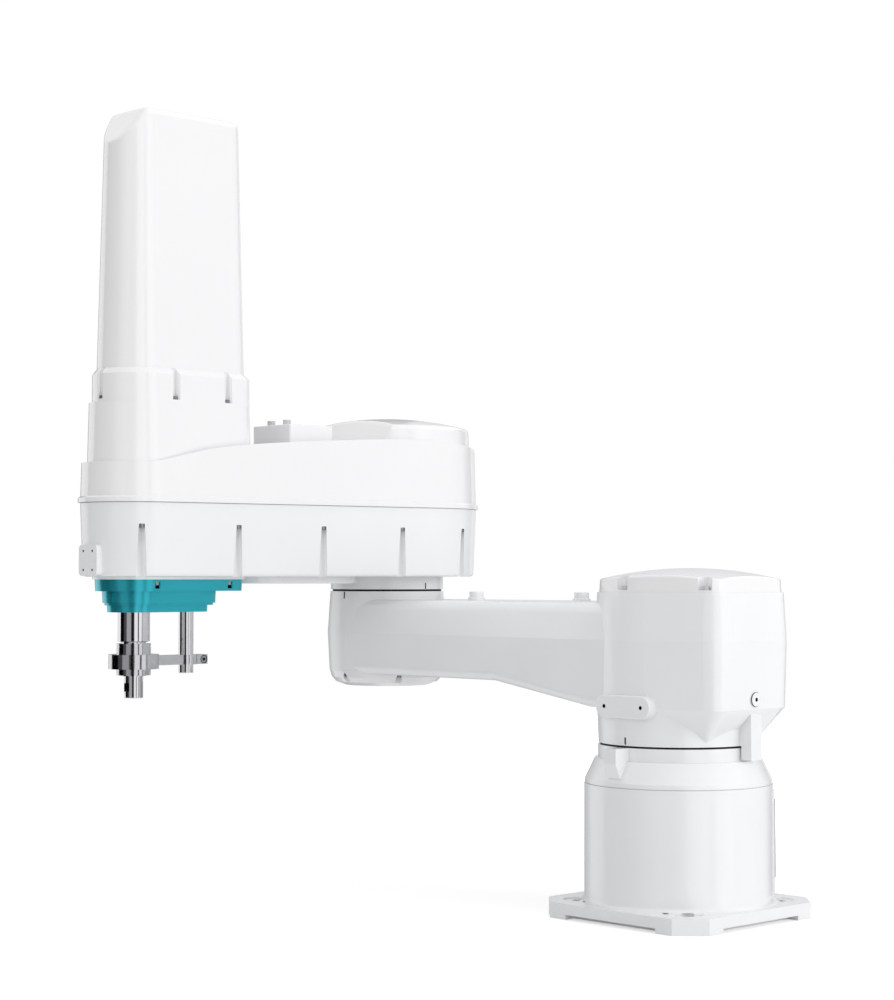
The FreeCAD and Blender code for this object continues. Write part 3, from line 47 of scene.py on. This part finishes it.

# Places taken from the frame, in metres
elbow_low, elbow_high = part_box("elbow_cover")
axis_j1 = (0.0, 0.0)
axis_j2 = ((elbow_low.x + elbow_high.x) / 2, (elbow_low.y + elbow_high.y) / 2)

# The camera was solved from the outlines of the photograph
CAMERA_AT = (2.16594, 1.82259, 0.43085)
CAMERA_YAW = 226.049         # degrees, direction of view round Z from +X
CAMERA_PITCH = 1.967         # degrees above level
CAMERA_LENS = 79.33          # mm on a 36 mm sensor


# Colours and nodes

def linear(hex_colour):
    """sRGB hex to linear RGBA."""
    channels = [int(hex_colour[i:i + 2], 16) / 255 for i in (0, 2, 4)]
    return [c / 12.92 if c <= 0.04045 else ((c + 0.055) / 1.055) ** 2.4 for c in channels] + [1.0]


def add(tree, kind, values=None, links=None, **settings):
    """Adds one node, with its socket values, its links {socket: (node, output)} and its settings."""
    node = tree.nodes.new(kind)
    for name, value in settings.items():
        setattr(node, name, value)
    for socket, value in (values or {}).items():
        node.inputs[socket].default_value = value
    for socket, (source, output) in (links or {}).items():
        tree.links.new(source.outputs[output], node.inputs[socket])
    return node


def shader(name):
    """A new material with its Principled shader and its Object coordinates."""
    material = bpy.data.materials.new(name)
    material.use_nodes = True
    tree = material.node_tree
    tree.nodes.clear()
    out = add(tree, "ShaderNodeOutputMaterial")
    surface = add(tree, "ShaderNodeBsdfPrincipled")
    tree.links.new(surface.outputs["BSDF"], out.inputs["Surface"])
    place = add(tree, "ShaderNodeTexCoord")
    return material, tree, surface, place


def set_values(surface, values):
    """Puts even values on the shader's own sockets."""
    for socket, value in values.items():
        surface.inputs[socket].default_value = value


def mixed(tree, low, high, factor):
    """Colour between two, by a factor node's output."""
    return add(tree, "ShaderNodeMix", {6: linear(low), 7: linear(high)}, {0: factor}, data_type="RGBA")


def grain(tree, place, size_mm, stretch=None):
    """Noise whose grains are about size_mm across, stretched along an axis where asked."""
    source = (place, "Object")
    if stretch:
        mapping = add(tree, "ShaderNodeMapping", {"Scale": stretch}, {"Vector": source})
        source = (mapping, "Vector")
    return add(tree, "ShaderNodeTexNoise", {"Scale": 1 / (size_mm * MM), "Detail": 2.0}, {"Vector": source})


def bumped(tree, surface, height, depth_mm, strength):
    """Shallow relief of the surface from a height output."""
    bump = add(tree, "ShaderNodeBump", {"Strength": strength, "Distance": depth_mm * MM}, {"Height": height})
    tree.links.new(bump.outputs["Normal"], surface.inputs["Normal"])


# Materials

def powder_coat(name, light, dark, roughness, peel_mm):
    """Powder coat on a casting: an even white skin whose slight orange peel breaks the highlights."""
    material, tree, surface, place = shader(name)
    tone = grain(tree, place, 90)
    colour = mixed(tree, dark, light, (tone, 0))
    tree.links.new(colour.outputs[2], surface.inputs["Base Color"])
    peel = grain(tree, place, peel_mm)
    rough = add(tree, "ShaderNodeMapRange", {"From Min": 0.3, "From Max": 0.7, "To Min": roughness - 0.03,
                                             "To Max": roughness + 0.03}, {"Value": (tone, 0)})
    tree.links.new(rough.outputs[0], surface.inputs["Roughness"])
    bumped(tree, surface, (peel, 0), 0.03, 0.5)
    set_values(surface, {"IOR": 1.5, "Coat Weight": 0.8, "Coat Roughness": 0.14})
    return material


def moulded_plastic(name, light, dark, roughness, coat):
    """Painted moulding: smoother than the castings, with a sharper gloss."""
    material, tree, surface, place = shader(name)
    tone = grain(tree, place, 140)
    colour = mixed(tree, dark, light, (tone, 0))
    tree.links.new(colour.outputs[2], surface.inputs["Base Color"])
    peel = grain(tree, place, 2.6)
    bumped(tree, surface, (peel, 0), 0.015, 0.4)
    set_values(surface, {"IOR": 1.5, "Roughness": roughness, "Coat Weight": coat, "Coat Roughness": 0.08})
    return material


def ground_steel(name, light, dark, roughness, ring_mm=0.9):
    """Ground or turned steel: fine rings round the axis that spread a reflection a little along it."""
    material, tree, surface, place = shader(name)
    rings = grain(tree, place, ring_mm, (0.02, 0.02, 1.0))
    colour = mixed(tree, dark, light, (rings, 0))
    tree.links.new(colour.outputs[2], surface.inputs["Base Color"])
    rough = add(tree, "ShaderNodeMapRange", {"From Min": 0.35, "From Max": 0.65, "To Min": roughness * 0.85,
                                             "To Max": roughness * 1.15}, {"Value": (rings, 0)})
    tree.links.new(rough.outputs[0], surface.inputs["Roughness"])
    set_values(surface, {"Metallic": 1.0})
    return material


def pearl_moulding(name, light, dark):
    """Moulding with a metallic pearl coat: deep where it mirrors the dark, bright where it faces light."""
    material, tree, surface, place = shader(name)
    tone = grain(tree, place, 60)
    colour = mixed(tree, dark, light, (tone, 0))
    tree.links.new(colour.outputs[2], surface.inputs["Base Color"])
    flake = grain(tree, place, 0.7)
    bumped(tree, surface, (flake, 0), 0.006, 0.4)
    set_values(surface, {"Metallic": 0.7, "Roughness": 0.27, "Coat Weight": 0.3, "Coat Roughness": 0.1})
    return material


def silicone_cord():
    """Pale silicone of the arm's gasket: dull and almost as light as the paint, so the seam is soft."""
    material, tree, surface, place = shader("silicone_cord")
    tone = grain(tree, place, 1.2)
    colour = mixed(tree, "B4B6B9", "C2C4C6", (tone, 0))
    tree.links.new(colour.outputs[2], surface.inputs["Base Color"])
    set_values(surface, {"Roughness": 0.6})
    return material


def painted_steel():
    """Painted steel of the lid screws and air fittings: pale, with worn metal tones between the grains."""
    material, tree, surface, place = shader("painted_steel")
    tone = grain(tree, place, 1.0)
    colour = mixed(tree, "C6C8CA", "E2E3E4", (tone, 0))
    tree.links.new(colour.outputs[2], surface.inputs["Base Color"])
    set_values(surface, {"Metallic": 0.3, "Roughness": 0.45})
    return material


def hole_shade_black():
    """Near black for the painted shade in holes, sockets and gaps, with a faint grain."""
    material, tree, surface, place = shader("hole_shade_black")
    tone = grain(tree, place, 0.6)
    colour = mixed(tree, "0C0C0E", "1A1A1D", (tone, 0))
    tree.links.new(colour.outputs[2], surface.inputs["Base Color"])
    set_values(surface, {"Roughness": 0.5})
    return material


def mark_paint():
    """Black paint filled into the index marks: dull, with a slightly uneven edge of tone."""
    material, tree, surface, place = shader("mark_paint")
    tone = grain(tree, place, 0.8)
    colour = mixed(tree, "0E0E10", "1C1C1E", (tone, 0))
    tree.links.new(colour.outputs[2], surface.inputs["Base Color"])
    set_values(surface, {"Roughness": 0.6})
    return material


def machined_aluminium():
    """Milled aluminium: pale, soft metal with a fine matte tooth."""
    material, tree, surface, place = shader("machined_aluminium")
    tooth = grain(tree, place, 0.8)
    colour = mixed(tree, "A9ABAE", "C3C5C8", (tooth, 0))
    tree.links.new(colour.outputs[2], surface.inputs["Base Color"])
    bumped(tree, surface, (tooth, 0), 0.02, 0.4)
    set_values(surface, {"Metallic": 1.0, "Roughness": 0.42})
    return material


def black_enamel():
    """Black enamel on the servo housings: dark, half gloss, slightly uneven."""
    material, tree, surface, place = shader("black_enamel")
    tone = grain(tree, place, 12)
    colour = mixed(tree, "17181A", "222326", (tone, 0))
    tree.links.new(colour.outputs[2], surface.inputs["Base Color"])
    bumped(tree, surface, (tone, 0), 0.03, 0.4)
    set_values(surface, {"Roughness": 0.38})
    return material


def nitrile_rubber():
    """Nitrile rubber: near black and dull, with a dusty grain."""
    material, tree, surface, place = shader("nitrile_rubber")
    tone = grain(tree, place, 1.5)
    colour = mixed(tree, "141415", "202022", (tone, 0))
    tree.links.new(colour.outputs[2], surface.inputs["Base Color"])
    bumped(tree, surface, (tone, 0), 0.05, 0.6)
    set_values(surface, {"Roughness": 0.8})
    return material


def glass_filled_nylon():
    """Glass filled nylon of the sockets: black and matte, with a fine mould grain."""
    material, tree, surface, place = shader("glass_filled_nylon")
    tone = grain(tree, place, 0.9)
    colour = mixed(tree, "1B1C1E", "292A2C", (tone, 0))
    tree.links.new(colour.outputs[2], surface.inputs["Base Color"])
    bumped(tree, surface, (tone, 0), 0.04, 0.5)
    set_values(surface, {"Roughness": 0.6})
    return material


def anodised_plate():
    """Anodised aluminium sheet: an even silver grey with a fine brushed line across it."""
    material, tree, surface, place = shader("anodised_plate")
    line = grain(tree, place, 1.2, (1.0, 0.04, 1.0))
    colour = mixed(tree, "B9BBBD", "CDCFD1", (line, 0))
    tree.links.new(colour.outputs[2], surface.inputs["Base Color"])
    bumped(tree, surface, (line, 0), 0.01, 0.3)
    set_values(surface, {"Metallic": 0.85, "Roughness": 0.45})
    return material


def nickel_plate():
    """Nickel plate over brass: bright with a warm cast."""
    material, tree, surface, place = shader("nickel_plate")
    tone = grain(tree, place, 3.0)
    colour = mixed(tree, "B7B3AA", "CFCBC2", (tone, 0))
    tree.links.new(colour.outputs[2], surface.inputs["Base Color"])
    set_values(surface, {"Metallic": 1.0, "Roughness": 0.22})
    return material


finishes = {
    "cast_paint": powder_coat("powder_coat", "F3F4F5", "EEEFF0", 0.36, 1.8),
    "cover_paint": moulded_plastic("painted_moulding", "F5F5F6", "F2F2F3", 0.26, 1.0),
    "teal_shell": pearl_moulding("teal_pearl", "2DBACB", "29B0C0"),
    "polished_steel": ground_steel("hard_chrome", "E6E6E8", "DEDEE1", 0.07),
    "clamp_steel": ground_steel("turned_steel", "D6D6D9", "CCCCD0", 0.12),
    "machine_steel": ground_steel("ground_steel", "A6A7AB", "989A9F", 0.3),
    "screw_steel": ground_steel("zinc_plated_steel", "B4B6BA", "A4A6AA", 0.3, 1.6),
    "plain_aluminium": machined_aluminium(),
    "motor_black": black_enamel(),
    "black_rubber": nitrile_rubber(),
    "black_plastic": glass_filled_nylon(),
    "panel_grey": anodised_plate(),
    "nickel_brass": nickel_plate(),
}


pale_steel = painted_steel()
own_finish = {"arm_gasket": silicone_cord(), "j1_lid_screws": pale_steel, "block_fittings": pale_steel}


def dress_nodes():
    """Each CAD node takes its own finish, or else the finish of its slot in the record."""
    for part in frame["record"]["subparts"]:
        node = frame["nodes"][part["node"]]
        node.data.materials.clear()
        node.data.materials.append(own_finish.get(part["node"], finishes[part["material_slot"]]))


dress_nodes()


# Pieces worked out on grids

def grid_faces(index, after):
    """Quads between neighbouring rows of a grid of point numbers and the same grid shifted by one column."""
    return np.stack([index[:-1], after[:-1], after[1:], index[1:]], axis=-1).reshape(-1, 4).tolist()


def surface_piece(name, points, faces, material):
    """Puts computed points and faces into a mesh of their own, with its object at the origin."""
    mesh = bpy.data.meshes.new(name)
    mesh.from_pydata(points.reshape(-1, 3).tolist(), [], faces)
    mesh.materials.append(material)
    piece = bpy.data.objects.new(name, mesh)
    bpy.context.scene.collection.objects.link(piece)
    return piece


# Index marks that show each arm's calibrated place

def index_mark(name, body, axis, azimuth, width_mm, foot_mm, head_mm):
    """
    Painted tick on a cone: for u across the width and t from foot to head, each a (radius, z) pair in mm,
    the point lies at radius r(t) round the axis, at the azimuth plus u / r(t), at height z(t).
    """
    u, t = np.meshgrid(np.linspace(-0.5, 0.5, 5) * width_mm * MM, np.linspace(0, 1, 9))
    r = (foot_mm[0] + (head_mm[0] - foot_mm[0]) * t + SKIN_MM) * MM
    z = (foot_mm[1] + (head_mm[1] - foot_mm[1]) * t) * MM
    angle = math.radians(azimuth) + u / r
    points = np.stack([axis[0] + r * np.cos(angle), axis[1] + r * np.sin(angle), z], axis=-1)
    index = np.arange(u.size).reshape(u.shape)
    piece = surface_piece(name, points, grid_faces(index[:, :-1], index[:, 1:]), marks_black)
    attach(piece, body)


marks_black = mark_paint()
index_mark("hub_mark", "inner_arm", axis_j1, 0, 2.4, (101.35, 221.2), (101.61, 230.0))
index_mark("elbow_mark", "inner_arm", axis_j2, 0, 2.6, (82.87, 398.2), (82.27, 407.8))
index_mark("collar_mark", "outer_arm", axis_j2, 90, 2.0, (81.6, 412.0), (81.6, 420.5))


# Painted shade: black linings in the threaded holes and screw sockets, and black rings in the shaded gaps
# round the housing plug and the pinch screw

def turned(name, body, centre, normal, profile_mm):
    """
    Black surface of painted shade turned round a line: for each (height, radius) of the profile in mm and
    each angle a, the point lies at centre + height * normal + radius * (cos a * side + sin a * up), with
    side, up and normal at right angles.
    """
    normal = np.array(normal, float)
    side = np.cross((0.0, 0.0, 1.0), normal)
    up = np.cross(normal, side)
    height, radius = np.array(profile_mm, float).T * MM
    angle = np.linspace(0, TAU, 40, endpoint=False)
    around = np.cos(angle)[:, None] * side + np.sin(angle)[:, None] * up
    points = np.array(centre) + height[:, None, None] * normal + radius[:, None, None] * around[None]
    index = np.arange(len(height) * len(angle)).reshape(len(height), len(angle))
    piece = surface_piece(name, points, grid_faces(index, np.roll(index, -1, axis=1)), painted_shade)
    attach(piece, body)


def hole_shade_lining(name, body, mouth, normal, radius_mm, start_mm, depth_mm):
    """Painted shade down a hole, from just inside its mouth to its bottom, black where the hole lies in
    shade.
    """
    wall = radius_mm - SKIN_MM
    turned(name, body, mouth, normal, [(-start_mm, wall), (-depth_mm, wall), (-depth_mm, SKIN_MM)])


def shade_tapped_holes(mount, body, name, columns, rows):
    """Paints shade down each tapped hole of a pattern, whose centre and spacings the record gives."""
    dims = mount["dims"]
    for across in columns:
        for above in rows:
            x, y, z = mount["pos_m"]
            y += across * dims["spacing_x_mm"] * MM / 2
            z += above * dims.get("spacing_y_mm", 0) * MM / 2
            hole_shade_lining(name.format(across=across + 1, above=above + 1), body, (x, y, z), (1, 0, 0),
                   dims["hole_r_mm"], 2 * SKIN_MM, HOLE_SHADE_MM)


# Near black of the painted shade in the holes, sockets and gaps
painted_shade = hole_shade_black()
# depth of the painted shade in the tapped holes
HOLE_SHADE_MM = 6.5
mounts = {mount["name"]: mount for mount in frame["record"]["mounts"]}
# Painted shade down the tapped holes of the inner arm's boss and of the outer arm's tip pad
shade_tapped_holes(mounts["housing_accessory_holes"], "inner_arm", "boss_hole_shade_{across}", (-1, 1), (0,))
shade_tapped_holes(mounts["tip_accessory_holes"], "outer_arm", "pad_hole_shade_{across}{above}", (-1, 1), (-1, 1))

SOCKET_START_MM = 0.1
PLUG_LIP_MM = 1.4            # the plug stands this far off the housing
PLUG_RING_MM, PLUG_GAP_MM = 0.5, 0.05
PLUG_SOCKET_R_MM, PLUG_SOCKET_MM = 2.5, 4.2
plug_low, plug_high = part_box("housing_plug")
plug_face = (axis_j1[0], plug_high.y, (plug_low.z + plug_high.z) / 2)
plug_r_mm = (plug_high.z - plug_low.z) / 2 / MM
# A black ring of painted shade stands in for the shaded gap round the housing plug, and its socket is
# painted black as shade
turned("plug_gap_shade", "inner_arm", plug_face, (0, 1, 0),
       [(-PLUG_LIP_MM, plug_r_mm + PLUG_RING_MM), (-PLUG_LIP_MM / 2, plug_r_mm + PLUG_RING_MM),
        (-PLUG_LIP_MM / 2, plug_r_mm + PLUG_GAP_MM)])
hole_shade_lining("plug_socket_shade", "inner_arm", plug_face, (0, 1, 0), PLUG_SOCKET_R_MM, SOCKET_START_MM, PLUG_SOCKET_MM)

PINCH_SUNK_MM = 0.3          # the screw's head lies this far below the bar's face
PINCH_RIM_MM, PINCH_BORE_MM, PINCH_GAP_MM = 5.8, 4.75, 4.65
PINCH_SOCKET_R_MM, PINCH_SOCKET_MM = 2.2, 1.8
screw_low, screw_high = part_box("pinch_screw")
pinch_face = ((screw_low.x + screw_high.x) / 2, screw_high.y, (screw_low.z + screw_high.z) / 2)
# A black ring of painted shade lies on the bar round the pinch screw's head and down its seat, for the
# shaded gap, and its socket is painted black as shade
turned("pinch_gap_shade", "lift", pinch_face, (0, 1, 0),
       [(PINCH_SUNK_MM + SKIN_MM, PINCH_RIM_MM), (PINCH_SUNK_MM + SKIN_MM, PINCH_BORE_MM),
        (-SOCKET_START_MM, PINCH_GAP_MM)])
hole_shade_lining("pinch_socket_shade", "lift", pinch_face, (0, 1, 0), PINCH_SOCKET_R_MM, SOCKET_START_MM, PINCH_SOCKET_MM)


# Floor, lights and camera

MIDDLE = (0.2, -0.3, 0.45)   # the lamps aim at the middle of the robot
FILL = 0.65
FLOOR_R = 4.0
FLOOR_Z = -0.0002            # just under the flange
CARD_R = 5.0
CARD_EDGE = 3.0
BLACK_FELT, GREY_FELT, PALE_FELT, WHITE_FELT = "080809", "4E4E50", "ACACAE", "DCDCDE"


def studio_floor():
    """
    A pale floor disc, its rim's points at (r cos a, r sin a). Seen by the camera it also glows, so that it
    reads as white paper and keeps the shadow.
    """
    material = bpy.data.materials.new("paper_floor")
    material.use_nodes = True
    tree = material.node_tree
    tree.nodes.clear()
    ray = add(tree, "ShaderNodeLightPath")
    place = add(tree, "ShaderNodeTexCoord")
    distance = add(tree, "ShaderNodeVectorMath", links={0: (place, "Object")}, operation="LENGTH")
    fade = add(tree, "ShaderNodeMapRange", {"From Min": 0.5, "From Max": 1.6, "To Min": 0.42, "To Max": 1.0},
               {"Value": (distance, 1)}, interpolation_type="SMOOTHSTEP")
    strength = add(tree, "ShaderNodeMath", links={0: (ray, "Is Camera Ray"), 1: (fade, 0)},
                   operation="MULTIPLY")
    glow = add(tree, "ShaderNodeEmission", {"Color": (1, 1, 1, 1)}, {"Strength": (strength, 0)})
    paper = add(tree, "ShaderNodeBsdfDiffuse", {"Color": linear("E8E8E8")})
    both = add(tree, "ShaderNodeAddShader", links={0: (paper, 0), 1: (glow, 0)})
    add(tree, "ShaderNodeOutputMaterial", links={"Surface": (both, 0)})
    angle = np.linspace(0, TAU, 96, endpoint=False)
    height = np.full_like(angle, FLOOR_Z)
    points = np.stack([FLOOR_R * np.cos(angle), FLOOR_R * np.sin(angle), height], axis=1)
    floor = surface_piece("floor", points, [list(range(len(angle)))], material)
    floor.visible_glossy = False


def studio_world():
    """White for the camera and for reflections, and a plain fill light for everything else."""
    world = bpy.data.worlds.new("studio")
    world.use_nodes = True
    bpy.context.scene.world = world
    tree = world.node_tree
    tree.nodes.clear()
    ray = add(tree, "ShaderNodeLightPath")
    clear = add(tree, "ShaderNodeMath", links={0: (ray, "Is Glossy Ray"), 1: (ray, "Is Transmission Ray")},
                operation="MAXIMUM")
    seen = add(tree, "ShaderNodeMath", links={0: (ray, "Is Camera Ray"), 1: (clear, 0)}, operation="MAXIMUM")
    fill = add(tree, "ShaderNodeBackground", {"Color": (1, 1, 1, 1), "Strength": FILL})
    white = add(tree, "ShaderNodeBackground", {"Color": (1, 1, 1, 1), "Strength": 1.0})
    both = add(tree, "ShaderNodeMixShader", links={0: (seen, 0), 1: (fill, 0), 2: (white, 0)})
    add(tree, "ShaderNodeOutputWorld", links={"Surface": (both, 0)})


def soft_box(name, at, size, power):
    """A rectangular lamp that aims at the middle of the robot and isn't mirrored in it."""
    data = bpy.data.lights.new(name, "AREA")
    data.shape = "RECTANGLE"
    data.size, data.size_y = size
    data.energy = power
    lamp = bpy.data.objects.new(name, data)
    bpy.context.scene.collection.objects.link(lamp)
    lamp.location = at
    aim = np.array(MIDDLE) - np.array(at)
    flat = math.hypot(aim[0], aim[1])
    lamp.rotation_euler = (math.atan2(flat, -aim[2]), 0, math.atan2(aim[1], aim[0]) - math.pi / 2)
    lamp.visible_glossy = False


def studio_camera():
    """The camera at the place, turn and lens that the outlines gave."""
    data = bpy.data.cameras.new("camera")
    data.lens = CAMERA_LENS
    data.sensor_width = 36
    camera = bpy.data.objects.new("camera", data)
    bpy.context.scene.collection.objects.link(camera)
    camera.location = CAMERA_AT
    camera.rotation_euler = (math.radians(90 + CAMERA_PITCH), 0, math.radians(CAMERA_YAW - 90))
    bpy.context.scene.camera = camera


def felt_card(name, azimuth, tone):
    """
    A card seen only in reflections: for an angle from the first azimuth to the second and both edges z,
    the point lies at (r cos(angle), r sin(angle), z), far outside the picture.
    """
    material = bpy.data.materials.new(name + "_felt")
    material.use_nodes = True
    tree = material.node_tree
    tree.nodes.clear()
    felt = add(tree, "ShaderNodeEmission", {"Color": linear(tone), "Strength": 1.0})
    add(tree, "ShaderNodeOutputMaterial", links={"Surface": (felt, 0)})
    sweep = np.radians(np.linspace(azimuth[0], azimuth[1], 9))
    angle, edge = np.meshgrid(sweep, [-CARD_EDGE, CARD_EDGE])
    points = np.stack([CARD_R * np.cos(angle), CARD_R * np.sin(angle), edge], axis=-1)
    index = np.arange(angle.size).reshape(angle.shape)
    card = surface_piece(name, points, grid_faces(index[:, :-1], index[:, 1:]), material)
    card.visible_camera = card.visible_diffuse = card.visible_shadow = False


studio_floor()
studio_world()
soft_box("key", (-1.2, 2.97, 1.0), (2.4, 2.0), 51)
soft_box("side", (3.2, 0.9, 1.6), (1.8, 1.8), 13)
soft_box("top", (0.1, -0.2, 2.8), (2.4, 2.4), 12)

# Felt cards stand round the studio, as a photographer sets them to give bright metal its bands.
# The gaps between them stay white.
felt_card("left_wing", (-130, -96), PALE_FELT)
felt_card("left_flag", (-62, -25), BLACK_FELT)
felt_card("left_shade", (-25, -5), GREY_FELT)
felt_card("front_sheet", (-5, 25), PALE_FELT)
felt_card("front_shade", (25, 33), GREY_FELT)
felt_card("front_flag", (33, 43), BLACK_FELT)
felt_card("front_edge", (43, 50), GREY_FELT)
felt_card("right_shade", (76, 85), GREY_FELT)
felt_card("right_sheet", (108, 175), PALE_FELT)
felt_card("rear_shade", (175, 195), GREY_FELT)
felt_card("rear_sheet", (195, 230), WHITE_FELT)
studio_camera()
bpy.context.scene.view_settings.view_transform = "Standard"
